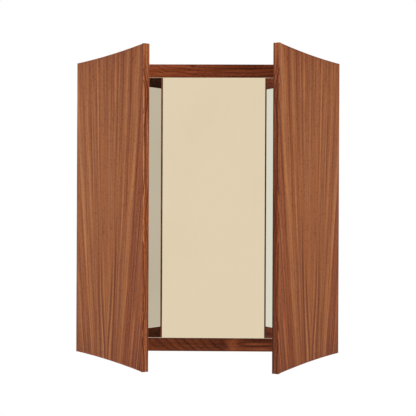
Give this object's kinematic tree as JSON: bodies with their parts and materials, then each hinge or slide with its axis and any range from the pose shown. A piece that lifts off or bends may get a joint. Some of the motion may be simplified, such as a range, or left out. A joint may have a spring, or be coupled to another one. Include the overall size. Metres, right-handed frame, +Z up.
{
  "type": "shutter mirror",
  "caption": "Wall mirror in a walnut frame, with a flared walnut shutter hinged at each side that is mirrored on its inner face and swings in to cover the centre mirror.",
  "frame": {"origin": "on the wall plane, in the middle of the row of wall screws of the wall cleat, 282 mm above the middle of the frame", "axes": "+Y points into the wall, +X to the right as seen by the viewer, +Z up; the viewer is at -Y"},
  "size_m": [0.7272, 0.3484, 0.83],
  "materials": {
    "walnut": "oiled, satin",
    "walnut_veneer": "oiled, satin",
    "walnut_lipping": "oiled, satin",
    "beech": "planed",
    "plywood": "sanded",
    "mirror_glass": "polished",
    "tape": "matte",
    "felt": "matte",
    "brass": "brushed",
    "brass_screw": "turned",
    "steel": "zinc plated"
  },
  "bodies": {
    "frame": {"left_stile": "walnut", "right_stile": "walnut", "top_rail": "walnut", "bottom_rail": "walnut", "corner_dowels": "beech", "backing_board": "plywood", "backing_board_screws": "steel", "centre_mirror": "mirror_glass", "centre_mirror_tape": "tape", "frame_cleat": "beech", "frame_cleat_screws": "steel", "wall_cleat": "beech", "catch_magnets": "steel", "magnet_plugs": "walnut", "felt_pads": "felt", "left_frame_hinge_leaves": "brass", "right_frame_hinge_leaves": "brass", "left_frame_hinge_screws": "brass_screw", "right_frame_hinge_screws": "brass_screw", "left_hinge_pins": "brass_screw", "right_hinge_pins": "brass_screw"},
    "left_shutter": {"left_shutter_panel": "walnut_veneer", "left_shutter_free_lipping": "walnut_lipping", "left_shutter_hinge_lipping": "walnut_lipping", "left_shutter_end_lippings": "walnut_lipping", "left_shutter_mirror": "mirror_glass", "left_shutter_mirror_tape": "tape", "left_shutter_hinge_leaves": "brass", "left_shutter_hinge_screws": "brass_screw", "left_shutter_catch_discs": "steel"},
    "right_shutter": {"right_shutter_panel": "walnut_veneer", "right_shutter_free_lipping": "walnut_lipping", "right_shutter_hinge_lipping": "walnut_lipping", "right_shutter_end_lippings": "walnut_lipping", "right_shutter_mirror": "mirror_glass", "right_shutter_mirror_tape": "tape", "right_shutter_hinge_leaves": "brass", "right_shutter_hinge_screws": "brass_screw", "right_shutter_catch_discs": "steel"}
  },
  "joints": [
    {"name": "left_shutter_hinge", "type": "hinge", "parent": "frame", "child": "left_shutter", "pos_m": [-0.3508, -0.041, -0.282], "axis": [0, 0, -1], "range_deg": [-53.2, 126.8]},
    {"name": "right_shutter_hinge", "type": "hinge", "parent": "frame", "child": "right_shutter", "pos_m": [0.3508, -0.041, -0.282], "axis": [0, 0, 1], "range_deg": [-58.5, 121.5]}
  ]
}
